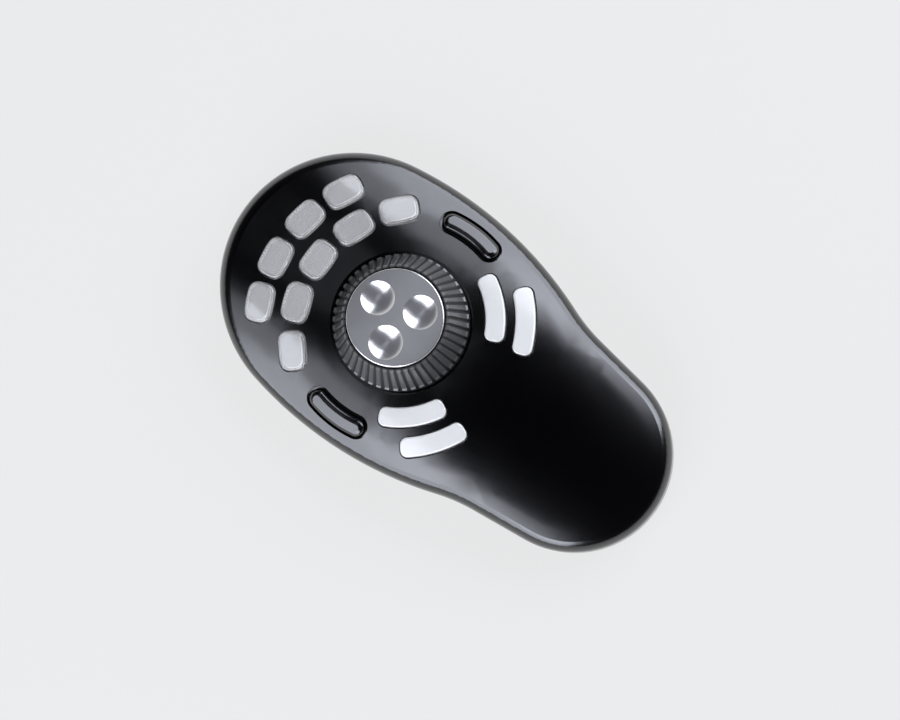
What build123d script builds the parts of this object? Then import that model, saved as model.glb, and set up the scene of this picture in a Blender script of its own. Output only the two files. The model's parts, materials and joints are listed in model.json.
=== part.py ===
from build123d import *
import os
from math import cos, degrees, pi, radians, sin, sqrt, tan

# A jog and shuttle controller for a desk: a paddle-shaped black housing with a palm rest, fifteen
# keys, and a wheel made of a turning dial inside a sprung outer ring.
# X runs to the right, Y towards the head that carries the small keys, and Z up. The origin is the
# middle of the bottom, at the height of the surface that the feet stand on.

# Housing outline, seen from above
body_length = 171.0
body_width = 93.9
head_side_radius = 137.0
widest_place_share = 0.27
palm_end_radius = 33.0
palm_taper_angle = 7.4
waist_radius = 60.0

# Housing crown, seen from the side and in section
crest_height = 27.0
crest_place_share = -0.234
deck_tilt_angle = 5.0
deck_start_place_share = 0.117
palm_arc_radius = 170.0
head_crown_radius = 110.0
palm_crown_radius = 90.0
crown_blend_back_share = -0.53
crown_blend_front_share = 0.18
palm_arc_limit_share = 0.9
crown_across_count = 15
crown_along_count = 31
crown_fit_tolerance = 0.022
edge_round = 5.5

# Housing shells
wall = 2.2
foot_gap = 1.0
parting_height = 8.0
bottom_round = 3.0
inner_bottom_round = 1.2
overrun = 5.0

# Wheel
nose_to_wheel = 66.8
well_radius = 24.1
well_wall = 1.6
well_depth = 5.0
ledge_thickness = 1.6
ledge_width = 6.1
ring_radius = 22.9
ring_skirt_clearance = 0.6
ring_band_height = 0.4
ring_step = 0.6
ring_cone_top_radius = 18.1
ring_top_height = 11.2
ring_top_round = 0.7
ring_wall = 1.7
ring_lip_width = 0.5
ring_bore_depth = 3.0
rib_count = 48
rib_groove_radius = 0.72
rib_groove_offset_share = 0.4
rib_groove_overrun = 2.5
dial_gap = 0.5
dial_proud = 1.1
dial_thickness = 3.0
dial_dome = 0.4
dial_edge_round = 0.5
dimple_ring_radius = 8.9
dimple_diameter = 11.6
dimple_depth = 1.9
dimple_count = 3
dimple_turn = 12.0
dial_hub_radius = 4.0
dial_hub_length = 2.2

# Shaft, bearing and carrier under the wheel
shaft_diameter = 4.0
shaft_fit = 0.05
shaft_cover = 1.4
post_radius = 5.0
post_fit = 0.06
bearing_flange_radius = 9.0
bearing_flange_thickness = 1.6
bearing_shoulder_radius = 6.5
bearing_foot_length = 0.6
bearing_foot_fit = 0.2
clip_thickness = 0.6
clip_groove_depth = 0.6
clip_width = 2.2
clip_mouth_angle = 60.0
clip_clearance = 0.1
post_tip = 0.3
post_dial_gap = 0.6
hub_wall = 2.34
carrier_web = 1.6
code_skirt_radius = 14.2
code_skirt_wall = 1.2
code_skirt_drop = 4.0
code_window_count = 12
code_window_width = 3.0
code_window_height = 2.4
stop_lug_width = 5.0
stop_lug_reach = 2.4
stop_tab_width = 4.0
stop_tab_gap = 0.8
shuttle_swing = 72.0
stop_margin_angle = 1.0

# Return spring of the outer ring
spring_wire_radius = 0.35
spring_gap = 0.45
spring_turns = 3
spring_pitch = 1.3

# Board and what stands on it
board_depth = 14.2
board_thickness = 1.6
board_side_inset = 3.5
board_front_reach = 52.0
board_back_reach = 42.0
board_notch_clearance = 0.8
board_post_radius = 2.4
board_screw_radius = 0.9
board_screw_head_radius = 1.8
board_screw_head_height = 1.2
board_screw_grip = 5.0
front_post_x = 33.0
front_post_y = 34.0
middle_post_x = 28.8
middle_post_y = 9.0
back_post_y = -32.0

# Switch under each key
switch_side = 5.2
switch_height = 1.6
switch_floor = 0.25
switch_lid = 0.4
switch_cavity_radius = 2.0
plunger_radius = 1.2
plunger_fit = 0.05
plunger_flange_radius = 1.8
plunger_flange_height = 0.4
plunger_proud = 0.7

# Keys
key_proud = 1.5
key_gap = 0.45
key_flange = 0.8
key_flange_thickness = 0.8
key_flange_gap = 0.3
key_edge_round = 0.6
key_stem_radius = 1.5
small_key_length = 13.0
small_key_width = 9.2
small_key_side_bow = 0.5
small_key_end_bow = 0.6
small_key_corner = 3.0
cap_wall = 0.9
cap_fit = 0.1
insert_gap = 0.3
row_centre_setback = 10.1
second_row_radius = 45.3
second_row_angles = (-40.6, -20.3, 0.0, 20.3, 40.6)
top_row_radius = 57.9
top_row_angles = (-23.7, -8.1, 8.1, 23.7)
bar_key_length = 23.0
bar_key_width = 6.5
bar_key_end_bow = 0.5
bar_key_corner = 2.4
inner_bar_radius = 31.5
inner_bar_angle = 134.1
outer_bar_radius = 41.3
outer_bar_angle = 142.3
side_key_length = 22.8
side_key_width = 6.7
side_key_proud = 1.1
side_key_edge_round = 2.2
side_key_gap = 0.8
side_key_radius = 37.6
side_key_angle = 90.0

# Code disc, detent and light gates
code_disc_radius = 9.0
code_disc_thickness = 0.8
code_slot_count = 20
code_slot_width = 1.0
code_slot_length = 2.2
code_slot_rim = 0.9
code_hub_radius = 4.2
detent_radius = 5.4
detent_notch_radius = 0.7
detent_notch_count = 12
detent_height = 1.2
code_hub_gap = 0.2
shaft_tail = 0.3
leaf_thickness = 0.3
leaf_length = 14.0
leaf_nose_radius = 0.6
leaf_gap = 0.25
leaf_block_side = 2.4
gate_width = 5.0
gate_arm = 1.2
gate_slot_clearance = 0.7
gate_overlap = 2.4
gate_lip = 1.2

# Other board parts
processor_side = 10.0
processor_height = 1.2
processor_y = -21.0
processor_pin_reach = 1.2
processor_pin_width = 0.35
processor_pin_thickness = 0.2
processor_pin_count = 11
socket_length = 8.0
socket_width = 5.0
socket_height = 4.2
socket_wall = 0.6
socket_y = 46.5
socket_pin_count = 4
socket_pin_side = 0.5

# Housing screws, feet and cable inlet
screw_radius = 1.2
screw_clearance = 0.3
screw_head_radius = 2.4
screw_head_height = 1.8
screw_grip = 5.0
screw_boss_radius = 2.8
nose_screw_x = 17.0
nose_screw_setback = 8.5
side_screw_x = 40.0
side_screw_setback = 48.5
palm_screw_x = 22.0
palm_screw_setback = 125.5
foot_radius = 5.0
foot_recess = 0.5
foot_edge_round = 0.3
head_foot_x = 31.0
head_foot_setback = 28.0
palm_foot_x = 20.0
palm_foot_setback = 151.5
inlet_radius = 3.6
inlet_bore_radius = 2.1
inlet_set_in = 0.5
inlet_flange_radius = 4.7
inlet_flange_thickness = 1.8
inlet_clearance = 0.9
inlet_tail = 4.0

# Values worked out from the sizes above
half_length = body_length / 2
half_width = body_width / 2
floor_top = foot_gap + wall
tilt = radians(deck_tilt_angle)
widest_y = widest_place_share * half_length
side_inset = head_side_radius - half_width
side_reach = half_length - widest_y
nose_arc_square = head_side_radius**2 - side_inset**2 - side_reach**2
nose_arc_radius = nose_arc_square / (2 * (head_side_radius - side_reach))
crest_y = crest_place_share * half_length
deck_start_y = deck_start_place_share * half_length
blend_back_y = crown_blend_back_share * half_length
blend_front_y = crown_blend_front_share * half_length
deck_arc_radius = (deck_start_y - crest_y) / sin(tilt)
deck_start_height = crest_height - deck_arc_radius * (1 - cos(tilt))
wheel_y = half_length - nose_to_wheel
wheel_height = deck_start_height - (wheel_y - deck_start_y) * tan(tilt)
shaft_radius = shaft_diameter / 2
ring_skirt_bottom = ring_skirt_clearance - well_depth
ring_bore_radius = ring_cone_top_radius - ring_top_round - ring_lip_width
rib_groove_offset = rib_groove_radius * rib_groove_offset_share
dial_radius = ring_bore_radius - dial_gap
dial_top = ring_top_height + dial_proud
dial_bottom = dial_top - dial_thickness
dial_hub_bottom = dial_bottom - dial_hub_length
post_top = dial_hub_bottom - post_dial_gap
hub_clip_bottom = post_top - post_tip - clip_thickness
hub_top = hub_clip_bottom - clip_clearance
hub_bore_radius = post_radius + post_fit
hub_radius = hub_bore_radius + hub_wall
ring_inner_radius = ring_radius - ring_wall
web_bottom = ring_skirt_bottom + ring_skirt_clearance
web_top = web_bottom + carrier_web
board_top = -board_depth
board_bottom = board_top - board_thickness
flange_top = board_top + bearing_flange_thickness
skirt_bottom = board_top + code_skirt_drop
hub_bottom = skirt_bottom
shoulder_top = hub_bottom - clip_clearance
bearing_foot = board_bottom - bearing_foot_length
shaft_clip_top = bearing_foot - code_hub_gap
shaft_clip_bottom = shaft_clip_top - clip_thickness
code_hub_top = shaft_clip_bottom - code_hub_gap
code_disc_top = code_hub_top - code_disc_thickness
code_disc_bottom = code_disc_top - code_disc_thickness
detent_bottom = code_disc_bottom - detent_height
shaft_bottom = detent_bottom - shaft_tail
shaft_top = dial_top - shaft_cover
bearing_bore_radius = shaft_radius + shaft_fit
ledge_top = -well_depth
ledge_bottom = ledge_top - ledge_thickness
ledge_hole_radius = well_radius - ledge_width
plunger_top = board_top + switch_height + plunger_proud
switch_lid_bottom = board_top + switch_height - switch_lid
spring_radius = hub_radius + spring_gap + spring_wire_radius
spring_leg = spring_radius / 2
spring_low = hub_bottom + spring_wire_radius
spring_high = spring_low + spring_pitch * spring_turns
peg_radius = spring_wire_radius * 2
peg_ring_radius = spring_radius + spring_wire_radius + peg_radius + post_fit
stop_half_width = (stop_lug_width + stop_tab_width) / 2
stop_angle = shuttle_swing + stop_margin_angle
stop_angle += degrees(stop_half_width / (code_skirt_radius + stop_tab_gap))
under_skin = wall + key_flange_gap
key_reach = key_proud + overrun
head_seat = foot_gap + foot_recess + screw_head_height
span_x = body_width + 2 * overrun
span_y = body_length + 2 * overrun
inlet_hole_start = half_length - wall - overrun


# The frame of the tilted deck: its origin is the wheel's centre on the housing's surface
deck = Plane(origin=(0, wheel_y, wheel_height), x_dir=(1, 0, 0), z_dir=(0, sin(tilt), cos(tilt)))


def on_deck(shape):
    return deck.location * shape


def mirrored(point):
    return Vector(-point.X, point.Y)


# The outline is a nose arc, two side arcs, two waist arcs, two straight palm sides and a palm arc.
# Each runs into the next without a corner, and grow moves the whole outline outwards.
def outline_face(grow):
    side_centre = Vector(-side_inset, widest_y)
    nose_centre = Vector(0, half_length - nose_arc_radius)
    palm_centre = Vector(0, palm_end_radius - half_length)
    taper = radians(palm_taper_angle)
    palm_normal = Vector(cos(taper), -sin(taper))
    palm_side = Vector(sin(taper), cos(taper))
    start = palm_centre - side_centre + palm_normal * (palm_end_radius + waist_radius)
    along = start.dot(palm_side)
    spare = start.dot(start) - (head_side_radius + waist_radius) ** 2
    run = -along - sqrt(along**2 - spare)
    waist_centre = palm_centre + palm_normal * (palm_end_radius + waist_radius) + palm_side * run

    to_nose = (nose_centre - side_centre).normalized()
    to_waist = (waist_centre - side_centre).normalized()
    nose_end = nose_centre + to_nose * (nose_arc_radius + grow)
    side_end = side_centre + to_waist * (head_side_radius + grow)
    side_middle = side_centre + (to_nose + to_waist).normalized() * (head_side_radius + grow)
    waist_middle = waist_centre - (to_waist + palm_normal).normalized() * (waist_radius - grow)
    waist_end = waist_centre - palm_normal * (waist_radius - grow)
    palm_end = palm_centre + palm_normal * (palm_end_radius + grow)
    edges = [
        Edge.make_three_point_arc(mirrored(nose_end), Vector(0, half_length + grow), nose_end),
        Edge.make_three_point_arc(nose_end, side_middle, side_end),
        Edge.make_three_point_arc(side_end, waist_middle, waist_end),
        Edge.make_line(waist_end, palm_end),
        Edge.make_three_point_arc(palm_end, Vector(0, -half_length - grow), mirrored(palm_end)),
        Edge.make_line(mirrored(palm_end), mirrored(waist_end)),
        Edge.make_three_point_arc(mirrored(waist_end), mirrored(waist_middle), mirrored(side_end)),
        Edge.make_three_point_arc(mirrored(side_end), mirrored(side_middle), mirrored(nose_end)),
    ]
    return Face(Wire(edges))


def outline_prism(grow, low, high):
    return Solid.extrude(outline_face(grow).moved(Location((0, 0, low))), Vector(0, 0, high - low))


# The spine is the height and slope along the middle: a palm arc up to the crest, an arc down from
# it, and then the straight tilted deck.
def spine(y):
    if y < crest_y:
        back = min(crest_y - y, palm_arc_radius * palm_arc_limit_share)
        drop = sqrt(palm_arc_radius**2 - back**2)
        return crest_height - palm_arc_radius + drop, back / drop
    if y < deck_start_y:
        ahead = y - crest_y
        drop = sqrt(deck_arc_radius**2 - ahead**2)
        return crest_height - deck_arc_radius + drop, -ahead / drop
    return deck_start_height - (y - deck_start_y) * tan(tilt), -tan(tilt)


# The section is round across the spine, tighter at the palm than at the head
def crown_height(x, y, grow):
    height, slope = spine(y)
    part = min(1, max(0, (y - blend_back_y) / (blend_front_y - blend_back_y)))
    part = part**2 * (3 - 2 * part)
    bend = (1 - part) / palm_crown_radius + part / head_crown_radius
    return height - bend * x**2 / 2 + grow * sqrt(1 + (bend * x) ** 2 + slope**2)


def crown_block(grow):
    reach_x = half_width + edge_round
    reach_y = half_length + edge_round
    columns = []
    for across in range(crown_across_count):
        x = reach_x * (2 * across / (crown_across_count - 1) - 1)
        column = []
        for along in range(crown_along_count):
            y = reach_y * (2 * along / (crown_along_count - 1) - 1)
            column.append(Vector(x, y, crown_height(x, y, grow)))
        columns.append(column)
    surface = Face.make_surface_from_array_of_points(columns, tol=crown_fit_tolerance)
    return Solid.extrude(surface, Vector(0, 0, -crest_height - overrun))


# The whole housing as one solid, moved outwards by grow, from a flat bottom at height low
def body_solid(grow, low):
    block = outline_prism(grow, low, crest_height + overrun) & crown_block(grow)
    top = block.faces().sort_by(Axis.Z)[-1]
    return fillet(top.outer_wire().edges(), edge_round + grow)


def bottom_edges(shape):
    return shape.faces().sort_by(Axis.Z)[0].outer_wire().edges()


standing = (Align.CENTER, Align.CENTER, Align.MIN)


def cylinder_between(radius, low, high, x=0, y=0):
    return Pos(x, y, low) * Cylinder(radius, high - low, align=standing)


def tube_between(outer, inner, low, high):
    return cylinder_between(outer, low, high) - cylinder_between(inner, low, high)


def box_between(size_x, size_y, low, high, x=0, y=0):
    return Pos(x, y, low) * Box(size_x, size_y, high - low, align=standing)


def revolved(points):
    profile = make_face(Polyline(*[(r, 0, z) for r, z in points], close=True))
    return revolve(profile, Axis.Z, 360)


# A key or lens outline with bowed sides and ends, lengthwise along X
def bowed_outline(length, width, end_bow, side_bow):
    corner_x = length / 2 - end_bow
    corner_y = width / 2 - side_bow
    edges = [
        Edge.make_three_point_arc((-corner_x, corner_y), (0, width / 2), (corner_x, corner_y)),
        Edge.make_three_point_arc((corner_x, corner_y), (length / 2, 0), (corner_x, -corner_y)),
        Edge.make_three_point_arc((corner_x, -corner_y), (0, -width / 2), (-corner_x, -corner_y)),
        Edge.make_three_point_arc((-corner_x, -corner_y), (-length / 2, 0), (-corner_x, corner_y)),
    ]
    return Face(Wire(edges))


def polar(radius, angle):
    return Vector(radius * sin(radians(angle)), radius * cos(radians(angle)))


# A key outline that follows a circle round the wheel's centre, with bowed ends
def arc_outline(radius, length, width, end_bow):
    inner = radius - width / 2
    outer = radius + width / 2
    corner = degrees((length / 2 - end_bow) / radius)
    tip = degrees(length / 2 / radius)
    edges = [
        Edge.make_three_point_arc(polar(outer, -corner), polar(outer, 0), polar(outer, corner)),
        Edge.make_three_point_arc(polar(outer, corner), polar(radius, tip), polar(inner, corner)),
        Edge.make_three_point_arc(polar(inner, corner), polar(inner, 0), polar(inner, -corner)),
        Edge.make_three_point_arc(polar(inner, -corner), polar(radius, -tip), polar(outer, -corner)),
    ]
    return Face(Wire(edges))


# What a key is: its place on the deck, its outline for any growth, and how it stands
class KeyPlan:
    def __init__(self, name, kind, angle, ring_radius_at):
        self.name = name
        self.kind = kind
        self.angle = angle
        self.ring_radius_at = ring_radius_at
        self.centre = polar(ring_radius_at, angle)
        if kind == "small":
            self.centre = self.centre - Vector(0, row_centre_setback)
        self.proud = side_key_proud if kind == "side" else key_proud
        self.gap = side_key_gap if kind == "side" else key_gap

    def outline(self, grow):
        if self.kind == "small":
            length = small_key_length + 2 * grow
            width = small_key_width + 2 * grow
            face = bowed_outline(length, width, small_key_end_bow, small_key_side_bow)
            return face.rotate(Axis.Z, -self.angle).moved(Location(self.centre))
        if self.kind == "bar":
            length = bar_key_length + 2 * grow
            face = arc_outline(self.ring_radius_at, length, bar_key_width + 2 * grow, bar_key_end_bow)
            return face.rotate(Axis.Z, -self.angle)
        width = side_key_width + 2 * grow
        face = arc_outline(self.ring_radius_at, side_key_length + 2 * grow, width, width / 2)
        return face.rotate(Axis.Z, -self.angle)

    # The outline drawn up between two deck heights, with its corners rounded where it has any
    def prism(self, grow, low, high):
        face = self.outline(grow).moved(Location((0, 0, low)))
        solid = Solid.extrude(face, Vector(0, 0, high - low))
        if self.kind != "side":
            corner = small_key_corner if self.kind == "small" else bar_key_corner
            solid = fillet(solid.edges().filter_by(Axis.Z), corner + grow)
        return on_deck(solid)

    # The deck height of the flange's underside, just below the lowest point of the housing over it
    def underside(self):
        corners = [vertex.center() for vertex in self.outline(key_flange).vertices()]
        return min(surface_depth(corner, -under_skin) for corner in corners) - key_flange_thickness


# The height above the deck plane of the housing's surface, moved outwards by grow, at a deck point
def surface_depth(point, grow):
    y = wheel_y + point.Y * cos(tilt)
    return (crown_height(point.X, y, grow) - wheel_height + (y - wheel_y) * tan(tilt)) * cos(tilt)


key_plans = []
for number, key_angle in enumerate(top_row_angles, 1):
    key_plans.append(KeyPlan(f"top_row_key_{number}", "small", key_angle, top_row_radius))
for number, key_angle in enumerate(second_row_angles, 1):
    key_plans.append(KeyPlan(f"second_row_key_{number}", "small", key_angle, second_row_radius))
for side, sign in (("left", -1), ("right", 1)):
    key_plans.append(KeyPlan(f"{side}_side_key", "side", sign * side_key_angle, side_key_radius))
    key_plans.append(KeyPlan(f"{side}_inner_bar_key", "bar", sign * inner_bar_angle, inner_bar_radius))
    key_plans.append(KeyPlan(f"{side}_outer_bar_key", "bar", sign * outer_bar_angle, outer_bar_radius))

board_posts = [
    (-front_post_x, front_post_y),
    (front_post_x, front_post_y),
    (-middle_post_x, middle_post_y),
    (middle_post_x, middle_post_y),
    (0, back_post_y),
]
housing_screws = []
housing_feet = []
for sign in (-1, 1):
    housing_screws.append((sign * nose_screw_x, half_length - nose_screw_setback))
    housing_screws.append((sign * side_screw_x, half_length - side_screw_setback))
    housing_screws.append((sign * palm_screw_x, half_length - palm_screw_setback))
    housing_feet.append((sign * head_foot_x, half_length - head_foot_setback))
    housing_feet.append((sign * palm_foot_x, half_length - palm_foot_setback))

outer_body = fillet(bottom_edges(body_solid(0, foot_gap)), bottom_round)
inner_body = fillet(bottom_edges(body_solid(-wall, floor_top)), inner_bottom_round)
under_body = body_solid(-under_skin, floor_top)
hollow_body = outer_body - inner_body


def cylinder_along_y(radius, start, end):
    plane = Plane(origin=(0, start, parting_height), x_dir=(1, 0, 0), z_dir=(0, 1, 0))
    return Solid.make_cylinder(radius, end - start, plane)


def make_top_shell():
    shell = hollow_body & box_between(span_x, span_y, parting_height, crest_height + overrun)
    inside = on_deck(tube_between(well_radius + well_wall, well_radius, ledge_bottom, overrun))
    inside += on_deck(tube_between(well_radius + well_wall, ledge_hole_radius, ledge_bottom, ledge_top))
    tab_reach = ledge_hole_radius - code_skirt_radius - stop_tab_gap + ledge_width / 2
    tab_middle = code_skirt_radius + stop_tab_gap + tab_reach / 2
    for sign in (-1, 1):
        tab = box_between(stop_tab_width, tab_reach, ledge_bottom, ledge_top, 0, -tab_middle)
        inside += on_deck(tab.rotate(Axis.Z, sign * stop_angle))
    for x, y in board_posts:
        inside += on_deck(cylinder_between(board_post_radius, board_top, 0, x, y))
    for x, y in housing_screws:
        inside += cylinder_between(screw_boss_radius, parting_height, crest_height, x, y)
    shell += inside & outer_body
    shell -= on_deck(cylinder_between(well_radius, ledge_top, overrun))
    for plan in key_plans:
        shell -= plan.prism(plan.gap, plan.underside(), key_reach)
    for x, y in board_posts:
        hole = cylinder_between(board_screw_radius, board_top, board_top + board_screw_grip, x, y)
        shell -= on_deck(hole)
    for x, y in housing_screws:
        shell -= cylinder_between(screw_radius, parting_height, parting_height + screw_grip, x, y)
    return shell - cylinder_along_y(inlet_radius, inlet_hole_start, half_length + overrun)


def make_bottom_shell():
    shell = hollow_body & box_between(span_x, span_y, 0, parting_height)
    for x, y in housing_screws:
        boss = cylinder_between(screw_boss_radius, head_seat - screw_head_height, parting_height, x, y)
        shell += outer_body & boss
    for x, y in housing_screws:
        shell -= cylinder_between(screw_head_radius + screw_clearance, 0, head_seat, x, y)
        shell -= cylinder_between(screw_radius + screw_clearance, head_seat, parting_height, x, y)
    for x, y in housing_feet:
        shell -= cylinder_between(foot_radius, 0, foot_gap + foot_recess, x, y)
    return shell - cylinder_along_y(inlet_radius, inlet_hole_start, half_length + overrun)


# The ribbed rubber ring: a plain band, then a cone with grooves cut down it, open in the middle
def make_shuttle_ring():
    cone_foot_height = ring_band_height + ring_step / 2
    cone_foot_radius = ring_radius - ring_step
    cone_top_height = ring_top_height - ring_top_round
    bore_bottom = ring_top_height - ring_bore_depth
    lean = (cone_foot_radius - ring_cone_top_radius) / (cone_top_height - cone_foot_height)
    shoulder_radius = ring_cone_top_radius + lean * (cone_top_height - bore_bottom) - ring_wall
    ring = revolved([
        (ring_inner_radius, ring_skirt_bottom),
        (ring_radius, ring_skirt_bottom),
        (ring_radius, ring_band_height),
        (cone_foot_radius, cone_foot_height),
        (ring_cone_top_radius, cone_top_height),
        (ring_cone_top_radius - ring_top_round, ring_top_height),
        (ring_bore_radius, ring_top_height),
        (ring_bore_radius, bore_bottom),
        (shoulder_radius, bore_bottom),
        (cone_foot_radius - ring_wall, cone_foot_height),
        (ring_inner_radius, web_top),
    ])
    slope = Vector(0, ring_cone_top_radius - cone_foot_radius, cone_top_height - cone_foot_height)
    start = Vector(0, cone_foot_radius + rib_groove_offset, cone_foot_height)
    start -= slope.normalized() * rib_groove_overrun
    groove_length = slope.length + 2 * rib_groove_overrun
    groove = Solid.make_cylinder(rib_groove_radius, groove_length, Plane(origin=start, z_dir=slope))
    grooves = [groove.rotate(Axis.Z, 360 * number / rib_count) for number in range(rib_count)]
    return ring - grooves


def make_jog_dial():
    rim_height = dial_top - dial_dome
    flat_radius = dial_radius - dial_edge_round
    side_top = rim_height - dial_edge_round
    round_middle = dial_edge_round * sin(pi / 4)
    profile = [
        Line((0, 0, dial_bottom), (dial_radius, 0, dial_bottom)),
        Line((dial_radius, 0, dial_bottom), (dial_radius, 0, side_top)),
        ThreePointArc(
            (dial_radius, 0, side_top),
            (flat_radius + round_middle, 0, side_top + round_middle),
            (flat_radius, 0, rim_height),
        ),
        ThreePointArc(
            (flat_radius, 0, rim_height),
            (flat_radius / 2, 0, dial_top - dial_dome / 4),
            (0, 0, dial_top),
        ),
        Line((0, 0, dial_top), (0, 0, dial_bottom)),
    ]
    dial = revolve(make_face(profile), Axis.Z, 360)
    sphere_radius = ((dimple_diameter / 2) ** 2 + dimple_depth**2) / (2 * dimple_depth)
    dimple_top = dial_top - dial_dome * (dimple_ring_radius / dial_radius) ** 2
    for number in range(dimple_count):
        place = polar(dimple_ring_radius, dimple_turn + 360 * number / dimple_count)
        centre_height = dimple_top + sphere_radius - dimple_depth
        dial -= Pos(place.X, place.Y, centre_height) * Sphere(sphere_radius)
    dial += cylinder_between(dial_hub_radius, dial_hub_bottom, dial_bottom)
    dial -= cylinder_between(shaft_radius, dial_hub_bottom, shaft_top)
    return dial


def make_jog_shaft():
    shaft = cylinder_between(shaft_radius, shaft_bottom, shaft_top)
    groove_radius = shaft_radius - clip_groove_depth
    return shaft - tube_between(shaft_radius + overrun, groove_radius, shaft_clip_bottom, shaft_clip_top)


# An open clip: a flat ring with a wedge-shaped mouth
def make_clip(bore, low, high):
    clip = tube_between(bore + clip_width, bore, low, high)
    far = 2 * (bore + clip_width)
    first = polar(far, 180 - clip_mouth_angle / 2)
    second = polar(far, 180 + clip_mouth_angle / 2)
    mouth = make_face(Polyline((0, 0), first, second, close=True)).face().moved(Location((0, 0, low)))
    return clip - Solid.extrude(mouth, Vector(0, 0, high - low))


def make_wheel_bearing():
    bearing = cylinder_between(bearing_flange_radius, board_top, flange_top)
    bearing += cylinder_between(bearing_shoulder_radius, flange_top, shoulder_top)
    bearing += cylinder_between(post_radius, bearing_foot, post_top)
    peg_top = spring_low + peg_radius
    bearing += cylinder_between(peg_radius, flange_top, peg_top, peg_ring_radius, -spring_leg / 2)
    bearing -= cylinder_between(bearing_bore_radius, bearing_foot, post_top)
    groove_radius = post_radius - clip_groove_depth
    groove_top = hub_clip_bottom + clip_thickness
    return bearing - tube_between(post_radius + overrun, groove_radius, hub_clip_bottom, groove_top)


def make_shuttle_carrier():
    carrier = cylinder_between(ring_inner_radius, web_bottom, web_top)
    carrier += cylinder_between(hub_radius, hub_bottom, hub_top)
    skirt_inner_radius = code_skirt_radius - code_skirt_wall
    carrier += tube_between(code_skirt_radius, skirt_inner_radius, skirt_bottom, web_bottom)
    lug_reach = stop_lug_reach + code_skirt_wall
    lug_middle = code_skirt_radius + stop_lug_reach - lug_reach / 2
    carrier += box_between(stop_lug_width, lug_reach, ledge_bottom, web_bottom, 0, -lug_middle)
    peg_bottom = spring_high - peg_radius
    carrier += cylinder_between(peg_radius, peg_bottom, web_bottom, peg_ring_radius, spring_leg / 2)
    window_top = skirt_bottom + code_window_height
    window_depth = 2 * (code_skirt_wall + post_fit)
    window = box_between(window_depth, code_window_width, skirt_bottom, window_top, code_skirt_radius)
    for number in range(code_window_count):
        carrier -= window.rotate(Axis.Z, 360 * (number + 1 / 2) / code_window_count)
    return carrier - cylinder_between(hub_bore_radius, hub_bottom, hub_top)


# A wound torsion spring round the carrier's hub, with a straight leg at each end
def make_shuttle_spring():
    coil = Helix(spring_pitch, spring_pitch * spring_turns, spring_radius, center=(0, 0, spring_low))
    first = coil @ 0 - (coil % 0) * spring_leg
    last = coil @ 1 + (coil % 1) * spring_leg
    path = Wire([Edge.make_line(first, coil @ 0), coil.edge(), Edge.make_line(coil @ 1, last)])
    section = Plane(origin=first, z_dir=coil % 0) * Circle(spring_wire_radius)
    return sweep(section, path=path)


def make_main_board():
    reach = board_front_reach + board_back_reach
    middle = (board_front_reach - board_back_reach) / 2
    board = on_deck(box_between(body_width, reach, board_bottom, board_top, 0, middle))
    board &= outline_prism(-wall - board_side_inset, 0, crest_height)
    for x, y in housing_screws:
        board -= cylinder_between(screw_boss_radius + board_notch_clearance, 0, crest_height, x, y)
    hole_radius = board_screw_radius + screw_clearance
    for x, y in board_posts:
        board -= on_deck(cylinder_between(hole_radius, board_bottom, board_top, x, y))
    return board - on_deck(cylinder_between(post_radius + bearing_foot_fit, board_bottom, board_top))


def make_switch_body(plan):
    switch_top = board_top + switch_height
    body = box_between(switch_side, switch_side, board_top, switch_top)
    body -= cylinder_between(switch_cavity_radius, board_top + switch_floor, switch_lid_bottom)
    body -= cylinder_between(plunger_radius + plunger_fit, switch_lid_bottom, switch_top)
    return on_deck(body.rotate(Axis.Z, -plan.angle).moved(Location(plan.centre)))


def make_plunger(plan):
    flange_bottom = switch_lid_bottom - plunger_flange_height
    plunger = cylinder_between(plunger_flange_radius, flange_bottom, switch_lid_bottom)
    plunger += cylinder_between(plunger_radius, switch_lid_bottom, plunger_top)
    return on_deck(plunger.moved(Location(plan.centre)))


def key_flange_and_stem(plan):
    under = plan.underside()
    part = plan.prism(key_flange, under, key_reach) & under_body
    stem = cylinder_between(key_stem_radius, plunger_top, under + key_flange_thickness / 2)
    return part + on_deck(stem.moved(Location(plan.centre)))


def top_rim(shape):
    return shape.faces().sort_by(Axis.Z)[-1].outer_wire().edges()


# A key made in one piece: its top follows the housing, and its flange lies under the housing
def make_plain_key(plan, skin, rim_round):
    top = plan.prism(0, plan.underside(), key_reach) & skin
    top = fillet(top_rim(top), rim_round)
    return top + key_flange_and_stem(plan)


# A clear cap over a base, with room for a paper insert between them
def make_key_cap(plan):
    cap = plan.prism(0, plan.underside(), key_reach) & key_skin
    cap = fillet(top_rim(cap), key_edge_round)
    cap -= plan.prism(-cap_wall, plan.underside(), key_reach) & cap_skin
    return cap - under_body


def make_key_base(plan):
    base = plan.prism(-cap_wall - cap_fit, plan.underside(), key_reach) & insert_skin
    return base + key_flange_and_stem(plan)


def make_code_disc():
    disc = cylinder_between(code_disc_radius, code_disc_bottom, code_disc_top)
    disc += cylinder_between(code_hub_radius, code_disc_top, code_hub_top)
    wheel = cylinder_between(detent_radius, detent_bottom, code_disc_bottom)
    for number in range(detent_notch_count):
        place = polar(detent_radius, 360 * (number + 1 / 2) / detent_notch_count)
        wheel -= cylinder_between(detent_notch_radius, detent_bottom, code_disc_bottom, place.X, place.Y)
    disc += wheel
    slot_middle = code_disc_radius - code_slot_rim - code_slot_length / 2
    for number in range(code_slot_count):
        slot = box_between(code_slot_width, code_slot_length, code_disc_bottom, code_disc_top)
        slot = slot.moved(Location((0, slot_middle, 0)))
        disc -= slot.rotate(Axis.Z, 360 * number / code_slot_count)
    return disc - cylinder_between(shaft_radius, detent_bottom, code_hub_top)


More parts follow.
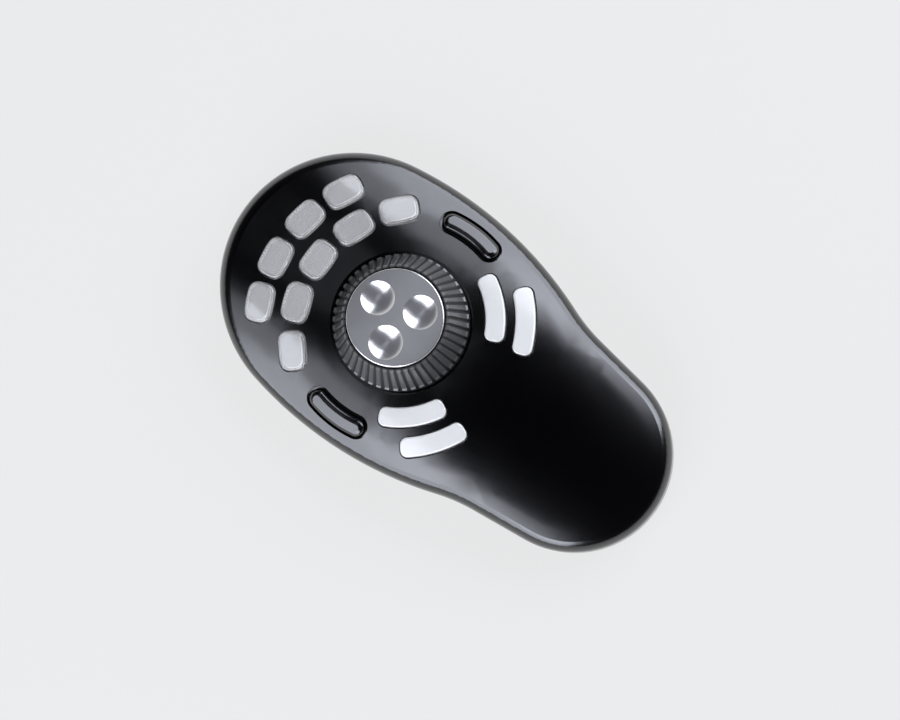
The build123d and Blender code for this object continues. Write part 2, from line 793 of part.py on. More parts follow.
def make_detent_spring():
    inner_x = detent_radius + leaf_gap + leaf_nose_radius
    leaf_top = code_disc_bottom - code_hub_gap
    leaf_middle = leaf_length / 2 - leaf_nose_radius * 2
    leaf_x = inner_x + leaf_thickness / 2
    leaf = box_between(leaf_thickness, leaf_length, detent_bottom, leaf_top, leaf_x, leaf_middle)
    leaf += cylinder_between(leaf_nose_radius, detent_bottom, leaf_top, inner_x, 0)
    block_x = inner_x + leaf_thickness + leaf_block_side / 2
    block_y = leaf_middle + leaf_length / 2 - leaf_block_side / 2
    block = box_between(leaf_block_side, leaf_block_side, detent_bottom, board_bottom, block_x, block_y)
    return leaf + block


# The two light gates: one stands astride the carrier's skirt, one reaches round the code disc
def make_light_gates():
    outer = code_skirt_radius + gate_slot_clearance
    inner = code_skirt_radius - code_skirt_wall - gate_slot_clearance
    low_slot = board_top + gate_lip
    high = skirt_bottom + gate_overlap
    middle_x = -(outer + inner) / 2
    upper = box_between(outer - inner + 2 * gate_arm, gate_width, board_top, high, middle_x)
    upper -= box_between(outer - inner, gate_width, low_slot, high, middle_x)
    back = code_disc_radius + gate_slot_clearance
    front = code_disc_radius - gate_overlap
    slot_top = code_disc_top + gate_slot_clearance
    slot_bottom = code_disc_bottom - gate_slot_clearance
    depth = back + gate_arm - front
    lower = box_between(gate_width, depth, slot_bottom - gate_arm, board_bottom, 0, -front - depth / 2)
    lower -= box_between(gate_width, back - front, slot_bottom, slot_top, 0, -(back + front) / 2)
    return upper, lower


def make_processor():
    low = board_top + processor_pin_thickness
    chip = box_between(processor_side, processor_side, low, board_top + processor_height)
    pitch = processor_side / (processor_pin_count + 1)
    foot_y = (processor_side + processor_pin_reach) / 2
    knee_y = (processor_side + processor_pin_thickness) / 2
    knee_top = board_top + processor_height / 2
    pin = box_between(processor_pin_width, processor_pin_reach, board_top, low, 0, foot_y)
    pin += box_between(processor_pin_width, processor_pin_thickness, board_top, knee_top, 0, knee_y)
    for quarter in range(4):
        for number in range(processor_pin_count):
            across = pitch * (number + 1) - processor_side / 2
            chip += pin.moved(Location((across, 0, 0))).rotate(Axis.Z, 90 * quarter)
    return chip.moved(Location((0, processor_y, 0)))


def make_cable_socket():
    high = board_top + socket_height
    pieces = [box_between(socket_length, socket_width, board_top, high)]
    hollow_length = socket_length - 2 * socket_wall
    hollow_width = socket_width - 2 * socket_wall
    pieces[0] -= box_between(hollow_length, hollow_width, board_top + socket_wall, high)
    pitch = hollow_length / socket_pin_count
    for number in range(socket_pin_count):
        x = pitch * (number + 1 / 2) - hollow_length / 2
        low = board_top + socket_wall
        pieces.append(box_between(socket_pin_side, socket_pin_side, low, high - socket_wall, x, 0))
    return [piece.moved(Location((0, socket_y, 0))) for piece in pieces]


def make_housing_screw(x, y):
    screw = cylinder_between(screw_head_radius, head_seat - screw_head_height, head_seat)
    screw += cylinder_between(screw_radius, head_seat, parting_height + screw_grip)
    slot_width = screw_radius / 2
    slot_top = head_seat - screw_head_height / 2
    for long_x, long_y in ((screw_head_radius, slot_width), (slot_width, screw_head_radius)):
        screw -= box_between(long_x, long_y, head_seat - screw_head_height, slot_top)
    return screw.moved(Location((x, y, 0)))


def make_board_screw(x, y):
    low = board_bottom - board_screw_head_height
    screw = cylinder_between(board_screw_head_radius, low, board_bottom)
    screw += cylinder_between(board_screw_radius, board_bottom, board_top + board_screw_grip)
    slot_width = board_screw_radius / 2
    for long_x, long_y in ((board_screw_head_radius, slot_width), (slot_width, board_screw_head_radius)):
        screw -= box_between(long_x, long_y, low, low + board_screw_head_height / 2)
    return on_deck(screw.moved(Location((x, y, 0))))


def make_foot(x, y):
    foot = cylinder_between(foot_radius, 0, foot_gap + foot_recess, x, y)
    return fillet(bottom_edges(foot), foot_edge_round)


def make_cable_inlet():
    bulge = inlet_flange_radius**2 / (2 * (nose_arc_radius - wall))
    flange_front = half_length - wall - bulge - inlet_clearance
    flange_back = flange_front - inlet_flange_thickness
    front = half_length - inlet_set_in
    back = flange_back - inlet_tail
    inlet = cylinder_along_y(inlet_radius, back, front)
    inlet += cylinder_along_y(inlet_flange_radius, flange_back, flange_front)
    return inlet - cylinder_along_y(inlet_bore_radius, back, front)


def save(name, shapes):
    solids = [solid for shape in shapes for solid in shape.solids()]
    result = solids[0] if len(solids) == 1 else Compound(children=solids)
    result.label = name
    export_step(result, f"parts/{name}.step")


os.makedirs("parts", exist_ok=True)
key_skin = crown_block(key_proud)
side_key_skin = crown_block(side_key_proud)
cap_skin = crown_block(key_proud - cap_wall)
insert_skin = crown_block(key_proud - cap_wall - insert_gap)

for plan in key_plans:
    if plan.kind == "small":
        save(f"{plan.name}_cap", [make_key_cap(plan)])
        save(f"{plan.name}_base", [make_key_base(plan)])
    elif plan.kind == "side":
        save(plan.name, [make_plain_key(plan, side_key_skin, side_key_edge_round)])
    else:
        save(plan.name, [make_plain_key(plan, key_skin, key_edge_round)])
    save(f"{plan.name}_plunger", [make_plunger(plan)])

hub_clip_top = hub_clip_bottom + clip_thickness
carrier_clip = make_clip(post_radius - clip_groove_depth, hub_clip_bottom, hub_clip_top)
shaft_clip = make_clip(shaft_radius - clip_groove_depth, shaft_clip_bottom, shaft_clip_top)
save("top_shell", [make_top_shell()])
save("bottom_shell", [make_bottom_shell()])
save("shuttle_ring", [on_deck(make_shuttle_ring())])
save("shuttle_carrier", [on_deck(make_shuttle_carrier())])
save("shuttle_spring", [on_deck(make_shuttle_spring())])
save("wheel_bearing", [on_deck(make_wheel_bearing())])
save("carrier_clip", [on_deck(carrier_clip)])
save("jog_dial", [on_deck(make_jog_dial())])
save("jog_shaft", [on_deck(make_jog_shaft())])
save("shaft_clip", [on_deck(shaft_clip)])
save("code_disc", [on_deck(make_code_disc())])
save("detent_spring", [on_deck(make_detent_spring())])
save("light_gates", [on_deck(gate) for gate in make_light_gates()])
save("main_board", [make_main_board()])
save("switch_bodies", [make_switch_body(plan) for plan in key_plans])
save("processor", [on_deck(make_processor())])
save("cable_socket", [on_deck(piece) for piece in make_cable_socket()])
save("board_screws", [make_board_screw(x, y) for x, y in board_posts])
save("housing_screws", [make_housing_screw(x, y) for x, y in housing_screws])
save("feet", [make_foot(x, y) for x, y in housing_feet])
save("cable_inlet", [make_cable_inlet()])
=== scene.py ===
import json
import math

import bpy
import numpy as np
from mathutils import Matrix, Quaternion, Vector


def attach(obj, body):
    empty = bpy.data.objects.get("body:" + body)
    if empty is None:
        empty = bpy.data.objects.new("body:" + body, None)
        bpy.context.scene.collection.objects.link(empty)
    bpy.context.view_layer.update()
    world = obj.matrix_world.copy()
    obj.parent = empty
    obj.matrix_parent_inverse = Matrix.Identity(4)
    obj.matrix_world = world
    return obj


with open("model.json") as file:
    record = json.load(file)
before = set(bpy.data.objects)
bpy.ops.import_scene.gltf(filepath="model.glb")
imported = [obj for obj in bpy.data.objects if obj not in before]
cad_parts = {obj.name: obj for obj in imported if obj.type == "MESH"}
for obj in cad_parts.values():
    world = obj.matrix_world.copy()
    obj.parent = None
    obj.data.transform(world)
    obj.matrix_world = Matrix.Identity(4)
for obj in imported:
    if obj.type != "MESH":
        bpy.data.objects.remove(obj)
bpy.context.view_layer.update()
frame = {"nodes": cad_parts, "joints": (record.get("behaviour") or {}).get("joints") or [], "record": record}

# A jog and shuttle controller for a desk: a polished black housing shaped like a paddle, small keys
# under clear caps, pale bar keys, black side keys and a silver dial inside a ribbed rubber ring.
# Every length is in metres, in the frame of the construction: X right, Y to the head, Z up.

nodes = frame["nodes"]
joints = {joint["name"]: joint for joint in frame["joints"]}
mm = 0.001

# The housing's deck, as the construction has it: from the crest over the palm an arc goes down to
# the deck's start, and from there the deck slopes straight to the nose. It is crowned across.
half_length = 85.5 * mm
crest_height = 27.0 * mm
crest_y = -0.234 * half_length
deck_start_y = 0.117 * half_length
deck_tilt = math.radians(5.0)
deck_arc_radius = (deck_start_y - crest_y) / math.sin(deck_tilt)
deck_start_height = crest_height - deck_arc_radius * (1 - math.cos(deck_tilt))
deck_crown_radius = 110.0 * mm

# The wheel's place, and the ribs of its ring, of which the first groove is straight ahead
wheel_centre = Vector(joints["jog_turn"]["pos_m"])
rib_count = 48

# The small keys' rows round the wheel: each row's radius, and the angle of each key from straight
# ahead. The rows' centre lies behind the wheel's by the setback.
row_centre_setback = 10.1 * mm
row_plans = {
    "top_row_key": (57.9 * mm, (-23.7, -8.1, 8.1, 23.7)),
    "second_row_key": (45.3 * mm, (-40.6, -20.3, 0.0, 20.3, 40.6)),
}

# The paper inserts in the gap under the small keys' caps, each a grid of rings and spokes. The ring
# shares tell how far each ring lies from the middle to the edge.
insert_half_length = 5.55 * mm
insert_half_width = 3.5 * mm
insert_squareness = 3.6
insert_proud = 0.36 * mm
insert_thickness = 0.14 * mm
insert_spokes = 64
insert_ring_shares = np.array((0.0001, 0.25, 0.5, 0.75, 0.92, 1.0))

# The camera: the turn puts the head at the upper left, and the lean is away from overhead
frame_width = 900
pixel_size = 0.3353 * mm
axis_turn = math.radians(37.2)
camera_lean = math.radians(6.0)
camera_distance = 1.25
nearest_sight = camera_distance / 100
farthest_sight = camera_distance * 20
sight_height = 8.0 * mm
sight_offset = (-0.1 * mm, -0.2 * mm)
sensor_width = 36.0

# The lamps at the object's sides, shifted towards the palm: for each pair its angle from overhead,
# its turn that lowers its palm end, its width, its height and its power
lamp_distance = 0.9
lamp_shift = -0.11
lamp_plans = {
    "high": (43.0, 25.0, 1.12, 0.18, 1.05),
    "low": (56.5, 3.0, 1.12, 0.60, 8.0),
}
lamp_target = Vector((0, 0, crest_height / 2))
lamp_colour = (0.86, 0.895, 1.0)

# A dim panel over the head, which the dial and the deck mirror
panel_lean = math.radians(16.5)
panel_width = 0.45
panel_height = 0.16
panel_power = 0.072

# The floor, how much of its colour the eye sees plain, and the sky's shades from the horizon up
floor_reach = 4.0
floor_grey = 0.846
floor_plain_share = 0.86
sky_shades = [
    (0.0, (0.8, 0.8, 0.8)),
    (0.12, (0.75, 0.75, 0.75)),
    (0.3, (0.035, 0.035, 0.04)),
    (1.0, (0.004, 0.004, 0.006)),
]

# The colour sockets of a Mix node, which share their names with its other sockets
mix_first_input = 6
mix_second_input = 7
mix_colour_output = 2


class Sum:
    """A number in a material. Sums written with it add the Math nodes that work them out."""

    def __init__(self, tree, socket):
        self.tree = tree
        self.socket = socket

    def math(self, operation, *values):
        made = add_node(self.tree, "ShaderNodeMath", {"operation": operation}, dict(enumerate(values)))
        return Sum(self.tree, made.outputs[0])

    def __add__(self, other):
        return self.math("ADD", self, other)

    def __radd__(self, other):
        return self.math("ADD", other, self)

    def __sub__(self, other):
        return self.math("SUBTRACT", self, other)

    def __rsub__(self, other):
        return self.math("SUBTRACT", other, self)

    def __mul__(self, other):
        return self.math("MULTIPLY", self, other)

    def clamp(self):
        return self.math("MINIMUM", self.math("MAXIMUM", self, 0.0), 1.0)


def add_node(tree, kind, settings=None, inputs=None):
    """Adds one node: its settings first, then the value or the link of each named socket."""
    node = tree.nodes.new(kind)
    for name, value in (settings or {}).items():
        if name == "stops":
            set_stops(node.color_ramp, value)
        else:
            setattr(node, name, value)
    for name, value in (inputs or {}).items():
        if isinstance(value, Sum):
            tree.links.new(value.socket, node.inputs[name])
        elif isinstance(value, bpy.types.NodeSocket):
            tree.links.new(value, node.inputs[name])
        else:
            node.inputs[name].default_value = value
    return node


def set_stops(ramp, stops):
    """Gives a colour ramp its stops, each a place and a colour."""
    while len(ramp.elements) < len(stops):
        ramp.elements.new(0.5)
    for element, (place, colour) in zip(ramp.elements, stops):
        element.position = place
        element.color = (*colour, 1.0)


class Finish:
    """One material: a Principled surface on Object coordinates, with the patterns that feed it."""

    def __init__(self, name, settings):
        self.material = bpy.data.materials.new(name)
        self.material.use_nodes = True
        self.tree = self.material.node_tree
        self.tree.nodes.clear()
        self.surface = add_node(self.tree, "ShaderNodeBsdfPrincipled", {}, settings)
        self.output = add_node(self.tree, "ShaderNodeOutputMaterial")
        self.tree.links.new(self.surface.outputs[0], self.output.inputs["Surface"])
        self.coordinates = add_node(self.tree, "ShaderNodeTexCoord").outputs["Object"]

    def stretched(self, scale):
        """The coordinates scaled along each axis, which draws a pattern out where the scale is low."""
        inputs = {"Vector": self.coordinates, "Scale": scale}
        return add_node(self.tree, "ShaderNodeMapping", {}, inputs).outputs[0]

    def noise(self, size, detail=3.0, roughness=0.55, vector=None):
        """Cloudy noise from 0 to 1, whose features are about size metres across."""
        inputs = {
            "Vector": vector or self.coordinates,
            "Scale": 1 / size,
            "Detail": detail,
            "Roughness": roughness,
        }
        return Sum(self.tree, add_node(self.tree, "ShaderNodeTexNoise", {}, inputs).outputs[0])

    def cells(self, size):
        """The distance to the nearest of a scatter of points about size metres apart."""
        inputs = {"Vector": self.coordinates, "Scale": 1 / size}
        made = add_node(self.tree, "ShaderNodeTexVoronoi", {}, inputs)
        return Sum(self.tree, made.outputs["Distance"])

    def feed(self, socket, value):
        source = value.socket if isinstance(value, Sum) else value
        self.tree.links.new(source, self.surface.inputs[socket])

    def feed_colour(self, factor, first, second):
        """Feeds a colour that goes from the first to the second as the factor goes from 0 to 1."""
        inputs = {"Factor": factor, mix_first_input: (*first, 1.0), mix_second_input: (*second, 1.0)}
        made = add_node(self.tree, "ShaderNodeMix", {"data_type": "RGBA"}, inputs)
        self.feed("Base Color", made.outputs[mix_colour_output])

    def feed_tint(self, factor, tint, darkest):
        """Feeds a colour that goes from the darkest share of a tint to the tint itself."""
        self.feed_colour(factor, tuple(darkest * part for part in tint), tint)

    def bump(self, height, depth, strength):
        inputs = {"Height": height, "Distance": depth, "Strength": strength}
        made = add_node(self.tree, "ShaderNodeBump", {}, inputs)
        self.tree.links.new(made.outputs[0], self.surface.inputs["Normal"])


def polished_black(name, tint, shine):
    """Moulded black plastic with a polish: faint handling haze, fine orange peel, a few dust specks."""
    speck_level = 0.74
    speck_gain = 3.0
    finish = Finish(name, {"IOR": 1.5, "Coat Weight": 1.0, "Coat Roughness": 0.15, "Coat IOR": 1.58})
    haze = finish.noise(size=22 * mm, detail=4.0)
    peel = finish.noise(size=0.9 * mm, detail=2.0)
    specks = (finish.noise(size=0.35 * mm, detail=1.0) - speck_level).clamp() * speck_gain
    finish.feed_tint(haze, tint, darkest=0.55)
    finish.feed("Roughness", (shine + haze * 0.10 + specks * 0.2).clamp())
    finish.bump(peel, depth=0.006 * mm, strength=0.35)
    return finish.material


def textured_black(name, tint, grain_size, depth, rough):
    """Spark-textured or soft black plastic and rubber, with an even fine grain."""
    finish = Finish(name, {"IOR": 1.46})
    grain = finish.cells(size=grain_size)
    cloud = finish.noise(size=14 * mm, detail=3.0)
    swell = finish.noise(size=grain_size * 3)
    finish.feed_tint(cloud, tint, darkest=0.6)
    finish.feed("Roughness", (rough + cloud * 0.12 - grain * 0.1).clamp())
    finish.bump(grain + swell * 0.5, depth, strength=0.6)
    return finish.material


def ribbed_rubber(name, painted_shade_groove_tint, ridge_tint):
    """Soft black rubber whose ridges are handled smooth, and whose grooves stay dull and carry a painted
    shade: their colour is darker than the ridges'.

    The angle about the wheel's axis, times the number of ribs, is a saw wave from groove to groove.
    Its distance from the middle of a tooth tells ridge from groove.
    """
    groove_start = 0.86
    groove_gain = 2.6
    finish = Finish(name, {"IOR": 1.6, "Coat Roughness": 0.3, "Coat IOR": 1.7})
    tree = finish.tree
    place = add_node(tree, "ShaderNodeSeparateXYZ", {}, {"Vector": finish.coordinates}).outputs
    offsets = zip(place, wheel_centre)
    right, ahead, up = (Sum(tree, socket) - float(centre) for socket, centre in offsets)
    along = ahead * math.cos(deck_tilt) - up * math.sin(deck_tilt)
    angle = along.math("ARCTAN2", right, along)
    tooth = angle.math("FRACT", angle * (rib_count / (2 * math.pi)))
    groove = tooth.math("ABSOLUTE", tooth - 0.5) * 2
    ridge = ((groove_start - groove) * groove_gain).clamp()
    wear = finish.noise(size=3 * mm, detail=3.0)
    grain = finish.noise(size=0.3 * mm, detail=2.0)
    # Painted shade: the grooves' colour is much darker than the ridges', standing in for the shade between
    # the ribs
    finish.feed_colour(ridge, painted_shade_groove_tint, ridge_tint)
    finish.feed("Roughness", (0.58 - ridge * 0.22 + wear * 0.08).clamp())
    finish.feed("Coat Weight", (ridge * 0.9 - wear * 0.15).clamp())
    finish.bump(grain, depth=0.008 * mm, strength=0.4)
    return finish.material


def silver_paint(name, tint, metal, rough):
    """Satin silver lacquer: fine bright flakes, a slightly uneven sheen and hairline marks."""
    finish = Finish(name, {"IOR": 1.5, "Coat Roughness": 0.12, "Coat IOR": 1.5})
    flakes = finish.noise(size=0.12 * mm, detail=1.0)
    cloud = finish.noise(size=9 * mm, detail=3.0)
    drawn_out = finish.stretched((0.08, 1.0, 1.0))
    marks = finish.noise(size=0.6 * mm, detail=2.0, roughness=0.5, vector=drawn_out)
    finish.feed_tint((flakes * 0.7 + cloud * 0.3).clamp(), tint, darkest=0.86)
    finish.feed("Metallic", (metal - cloud * 0.08).clamp())
    finish.feed("Roughness", (rough + flakes * 0.04 + marks * 0.02).clamp())
    finish.bump(flakes, depth=0.002 * mm, strength=0.2)
    return finish.material


def pale_plastic(name, tint, rough, polish=0.0):
    """Pale moulded plastic with a slight cloud in its colour and a smooth skin."""
    finish = Finish(name, {"IOR": 1.5, "Coat Weight": polish, "Coat Roughness": 0.1, "Coat IOR": 1.7})
    cloud = finish.noise(size=6 * mm, detail=3.0)
    grain = finish.noise(size=0.4 * mm, detail=2.0)
    finish.feed_tint(cloud, tint, darkest=0.92)
    finish.feed("Roughness", (rough + cloud * 0.08 + grain * 0.04).clamp())
    finish.bump(grain, depth=0.004 * mm, strength=0.3)
    return finish.material


def clear_plastic(name):
    """Slightly milky clear plastic with a hard polish and handling marks. It lets lamplight through."""
    milky = {"IOR": 1.49, "Transmission Weight": 0.8, "Base Color": (0.98, 0.97, 0.95, 1.0)}
    polish = {"Coat Weight": 1.0, "Coat Roughness": 0.1, "Coat IOR": 1.7}
    shadow_tint = (0.95, 0.95, 0.95, 1.0)
    finish = Finish(name, milky | polish)
    haze = finish.noise(size=5 * mm, detail=4.0)
    marks = finish.noise(size=1.4 * mm, detail=2.0)
    finish.feed("Roughness", (0.03 + haze * 0.05).clamp())
    finish.bump(marks, depth=0.006 * mm, strength=0.25)
    shadow = add_node(finish.tree, "ShaderNodeLightPath").outputs["Is Shadow Ray"]
    through = add_node(finish.tree, "ShaderNodeBsdfTransparent", {}, {"Color": shadow_tint})
    inputs = {0: shadow, 1: finish.surface.outputs[0], 2: through.outputs[0]}
    mixed = add_node(finish.tree, "ShaderNodeMixShader", {}, inputs)
    finish.tree.links.new(mixed.outputs[0], finish.output.inputs["Surface"])
    return finish.material


def card_paper(name, tint):
    """Blank card of a key's insert: short fibres in its colour and a matt, slightly rough face."""
    finish = Finish(name, {"IOR": 1.4})
    drawn_out = finish.stretched((1.0, 0.35, 1.0))
    fibres = finish.noise(size=0.25 * mm, detail=4.0, roughness=0.7, vector=drawn_out)
    cloud = finish.noise(size=3 * mm, detail=3.0)
    finish.feed_tint((fibres * 0.6 + cloud * 0.4).clamp(), tint, darkest=0.9)
    finish.feed("Roughness", (0.62 + fibres * 0.2).clamp())
    finish.bump(fibres, depth=0.01 * mm, strength=0.4)
    return finish.material


def turned_steel(name, tint, rough):
    """Plain steel with fine turning or rolling marks."""
    finish = Finish(name, {"IOR": 2.5})
    drawn_out = finish.stretched((1.0, 1.0, 0.1))
    marks = finish.noise(size=0.2 * mm, detail=3.0, roughness=0.6, vector=drawn_out)
    finish.feed_tint(marks, tint, darkest=0.8)
    finish.feed("Metallic", (0.94 + marks * 0.06).clamp())
    finish.feed("Roughness", (rough + marks * 0.15).clamp())
    finish.bump(marks, depth=0.005 * mm, strength=0.4)
    return finish.material


def laminate_board(name):
    """Green lacquered board: darker bare laminate between the wide blurred runs of buried copper."""
    bare_green = (0.006, 0.06, 0.025)
    copper_green = (0.012, 0.13, 0.05)
    edge_gain = 14.0
    finish = Finish(name, {"IOR": 1.5, "Coat Weight": 0.3, "Coat Roughness": 0.15})
    drawn_out = finish.stretched((1.0, 0.18, 1.0))
    runs = finish.noise(size=1.6 * mm, detail=1.0, roughness=0.3, vector=drawn_out)
    copper = ((runs - 0.5) * edge_gain).clamp()
    finish.feed_colour(copper, bare_green, copper_green)
    finish.feed("Roughness", (0.3 + finish.noise(size=4 * mm) * 0.15).clamp())
    finish.bump(copper, depth=0.03 * mm, strength=0.5)
    return finish.material


def deck_height(x, y, grow):
    """The height of the crowned deck, moved outwards by grow.

    It is the deck's straight slope less a parabola across it. Moved outwards, it rises by grow
    times the root of one plus the squares of its slopes across and along.
    """
    slope = math.tan(deck_tilt)
    bend = 1 / deck_crown_radius
    height = deck_start_height - (y - deck_start_y) * slope - bend * x**2 / 2
    return height + grow * np.sqrt(1 + (bend * x) ** 2 + slope**2)


def ring_faces(rings, spokes):
    """The four-sided faces between rings of points, ring by ring, where each ring is closed."""
    ring, spoke = np.meshgrid(np.arange(rings - 1), np.arange(spokes), indexing="ij")
    following = (spoke + 1) % spokes
    inner = (ring * spokes + spoke, ring * spokes + following)
    outer = ((ring + 1) * spokes + following, (ring + 1) * spokes + spoke)
    return np.stack((*inner, *outer), axis=-1).reshape(-1, 4)


def new_piece(name, points, faces, material, body):
    """Makes a smooth mesh piece out of arrays of points and faces, and lets it ride on a body."""
    mesh = bpy.data.meshes.new(name)
    mesh.from_pydata(points.tolist(), [], [list(face) for face in faces])
    mesh.validate()
    mesh.materials.append(material)
    mesh.polygons.foreach_set("use_smooth", np.ones(len(mesh.polygons), bool))
    piece = bpy.data.objects.new(name, mesh)
    bpy.context.scene.collection.objects.link(piece)
    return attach(piece, body)


def make_insert(name, angle, row_radius, material):
    """A blank card under a clear cap: a superellipse on a grid of rings and spokes.

    A ring's points are its share of the edge, whose radius at each spoke is that of the curve
    |x/a|^n + |y/b|^n = 1. The card is turned and set out to its key's place in the row. It lies on
    the deck, moved outwards, and its back is the same grid a thickness lower.
    """
    spokes = insert_spokes
    rings = len(insert_ring_shares)
    turn = np.linspace(0, 2 * np.pi, spokes, endpoint=False)
    share_across = np.abs(np.cos(turn) / insert_half_length) ** insert_squareness
    share_along = np.abs(np.sin(turn) / insert_half_width) ** insert_squareness
    reach = (share_across + share_along) ** (-1 / insert_squareness)
    across = np.outer(insert_ring_shares, reach * np.cos(turn))
    along = np.outer(insert_ring_shares, reach * np.sin(turn))
    heading = math.radians(angle)
    x = across * math.cos(heading) + along * math.sin(heading) + row_radius * math.sin(heading)
    ahead = along * math.cos(heading) - across * math.sin(heading) + row_radius * math.cos(heading)
    y = wheel_centre.y + (ahead - row_centre_setback) * math.cos(deck_tilt)
    levels = (insert_proud + insert_thickness, insert_proud)
    sheets = [np.stack((x, y, deck_height(x, y, level)), axis=-1).reshape(-1, 3) for level in levels]

    back_start = rings * spokes
    top_faces = ring_faces(rings, spokes)
    back_faces = top_faces[:, ::-1] + back_start
    rim = np.arange(spokes) + (rings - 1) * spokes
    next_rim = np.roll(rim, -1)
    wall = np.stack((next_rim, rim, rim + back_start, next_rim + back_start), axis=-1)
    middles = [list(range(spokes)), list(range(back_start, back_start + spokes))[::-1]]
    faces = [*top_faces[:, ::-1].tolist(), *back_faces[:, ::-1].tolist(), *wall.tolist(), *middles]
    return new_piece(name + "_insert", np.concatenate(sheets), faces, material, name)


finishes = {
    "housing_gloss": polished_black("housing_gloss", tint=(0.0004, 0.0004, 0.0010), shine=0.13),
    "side_key_gloss": polished_black("side_key_gloss", tint=(0.003, 0.003, 0.004), shine=0.14),
    "housing_base": textured_black("housing_base", (0.012, 0.012, 0.014), 0.35 * mm, 0.03 * mm, 0.5),
    "foot_rubber": textured_black("foot_rubber", (0.02, 0.02, 0.02), 0.5 * mm, 0.02 * mm, 0.75),
    "inlet_rubber": textured_black("inlet_rubber", (0.012, 0.012, 0.012), 0.3 * mm, 0.01 * mm, 0.6),
    # The ring's first colour is a painted shade for its grooves; the second is the ridges' tint
    "ring_rubber": ribbed_rubber("ring_rubber", (0.006, 0.006, 0.006), (0.055, 0.055, 0.057)),
    "dial_silver": silver_paint("dial_silver", tint=(0.91, 0.905, 0.905), metal=0.89, rough=0.22),
    "bar_key_gloss": pale_plastic("bar_key_gloss", (0.95, 0.945, 0.91), rough=0.16, polish=1.0),
    "key_base": pale_plastic("key_base", (0.94, 0.93, 0.90), rough=0.35),
    "clear_cap": clear_plastic("clear_cap"),
    "key_card": card_paper("key_card", tint=(0.155, 0.155, 0.15)),
    "mechanism_plastic": pale_plastic("mechanism_plastic", (0.55, 0.55, 0.52), rough=0.4),
    "socket_plastic": pale_plastic("socket_plastic", (0.6, 0.57, 0.48), rough=0.4),
    "plunger_plastic": pale_plastic("plunger_plastic", (0.5, 0.04, 0.03), rough=0.4),
    "switch_plastic": textured_black("switch_plastic", (0.03, 0.03, 0.03), 0.3 * mm, 0.01 * mm, 0.5),
    "chip_plastic": textured_black("chip_plastic", (0.02, 0.02, 0.02), 0.2 * mm, 0.008 * mm, 0.55),
    "steel": turned_steel("steel", tint=(0.56, 0.56, 0.55), rough=0.25),
    "board": laminate_board("board"),
}

for part in frame["record"]["subparts"]:
    mesh = nodes[part["node"]].data
    mesh.materials.clear()
    mesh.materials.append(finishes[part["material_slot"]])

for row, (row_radius, angles) in row_plans.items():
    for number, angle in enumerate(angles, 1):
        make_insert(f"{row}_{number}", angle, row_radius, finishes["key_card"])


def make_floor():
    """A wide level floor. The eye and reflections see its plain colour, and lamps its white paint."""
    mesh = bpy.data.meshes.new("floor")
    signs = ((-1, -1), (1, -1), (1, 1), (-1, 1))
    corners = [(floor_reach * side, floor_reach * way, 0) for side, way in signs]
    mesh.from_pydata(corners, [], [(0, 1, 2, 3)])
    floor = bpy.data.objects.new("floor", mesh)
    bpy.context.scene.collection.objects.link(floor)
    material = bpy.data.materials.new("floor_paint")
    material.use_nodes = True
    tree = material.node_tree
    tree.nodes.clear()
    rays = add_node(tree, "ShaderNodeLightPath").outputs
    seen = Sum(tree, rays["Is Camera Ray"]) + Sum(tree, rays["Is Glossy Ray"])
    seen = (seen + Sum(tree, rays["Is Transmission Ray"])).clamp() * floor_plain_share
    grey = (floor_grey, floor_grey, floor_grey, 1.0)
    paint = add_node(tree, "ShaderNodeBsdfDiffuse", {}, {"Color": grey})
    glow = add_node(tree, "ShaderNodeEmission", {}, {"Color": grey, "Strength": 1.0})
    mixed = add_node(tree, "ShaderNodeMixShader", {}, {0: seen, 1: paint.outputs[0], 2: glow.outputs[0]})
    add_node(tree, "ShaderNodeOutputMaterial", {}, {"Surface": mixed.outputs[0]})
    mesh.materials.append(material)


def make_world():
    """A pale band along the horizon that fades to dark overhead, as with the roof lights off."""
    world = bpy.data.worlds.new("studio")
    bpy.context.scene.world = world
    world.use_nodes = True
    tree = world.node_tree
    tree.nodes.clear()
    direction = add_node(tree, "ShaderNodeTexCoord").outputs["Generated"]
    parts = add_node(tree, "ShaderNodeSeparateXYZ", {}, {"Vector": direction}).outputs
    sky = add_node(tree, "ShaderNodeValToRGB", {"stops": sky_shades}, {"Fac": Sum(tree, parts["Z"])})
    glow = add_node(tree, "ShaderNodeBackground", {}, {"Color": sky.outputs[0], "Strength": 1.0})
    add_node(tree, "ShaderNodeOutputWorld", {}, {"Surface": glow.outputs[0]})


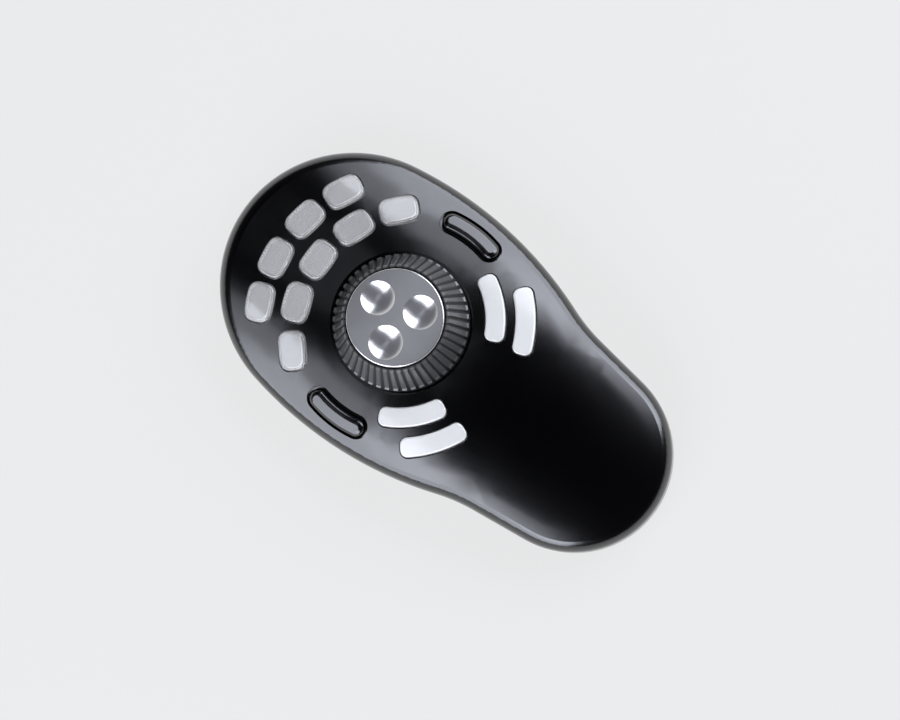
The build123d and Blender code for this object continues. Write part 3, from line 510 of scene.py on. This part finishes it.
def make_lamp(name, place, turn, width, height, power):
    """An oblong area lamp that faces the object, turned about its own axis."""
    data = bpy.data.lights.new(name, "AREA")
    data.shape = "RECTANGLE"
    data.size = width
    data.size_y = height
    data.energy = power
    data.color = lamp_colour
    lamp = bpy.data.objects.new(name, data)
    bpy.context.scene.collection.objects.link(lamp)
    lamp.location = place
    lamp.rotation_mode = "QUATERNION"
    facing = (place - lamp_target).to_track_quat("Z", "Y")
    lamp.rotation_quaternion = facing @ Quaternion((0, 0, 1), turn)


def make_lamps():
    """The two pairs of lamps at the sides, and the dim panel over the head."""
    for side, sign in (("right", 1), ("left", -1)):
        for name, (angle, turn, width, height, power) in lamp_plans.items():
            slant = math.radians(angle)
            outwards = Vector((sign * math.sin(slant), 0, math.cos(slant)))
            place = lamp_target + lamp_distance * outwards + Vector((0, lamp_shift, 0))
            roll = sign * math.radians(turn)
            make_lamp(f"{name}_lamp_{side}", place, roll, width, height, power)
    panel_way = Vector((0, math.sin(panel_lean), math.cos(panel_lean)))
    place = lamp_target + lamp_distance * panel_way
    make_lamp("dim_panel", place, 0.0, panel_width, panel_height, panel_power)


def make_camera():
    """Looks down on the object from a little towards the palm, turned so that the head is upper left."""
    back = Vector((0, -math.sin(camera_lean), math.cos(camera_lean)))
    head = Vector((0, math.cos(camera_lean), math.sin(camera_lean)))
    side = Vector((1, 0, 0))
    right = side * math.sin(axis_turn) - head * math.cos(axis_turn)
    up = side * math.cos(axis_turn) + head * math.sin(axis_turn)
    data = bpy.data.cameras.new("camera")
    data.sensor_width = sensor_width
    data.lens = sensor_width * camera_distance / (frame_width * pixel_size)
    data.clip_start = nearest_sight
    data.clip_end = farthest_sight
    camera = bpy.data.objects.new("camera", data)
    bpy.context.scene.collection.objects.link(camera)
    target = Vector((*sight_offset, sight_height))
    turned = Matrix((right, up, back)).transposed().to_4x4()
    camera.matrix_world = Matrix.Translation(target + back * camera_distance) @ turned
    bpy.context.scene.camera = camera


make_floor()
make_world()
make_lamps()
make_camera()
bpy.context.scene.view_settings.view_transform = "Standard"
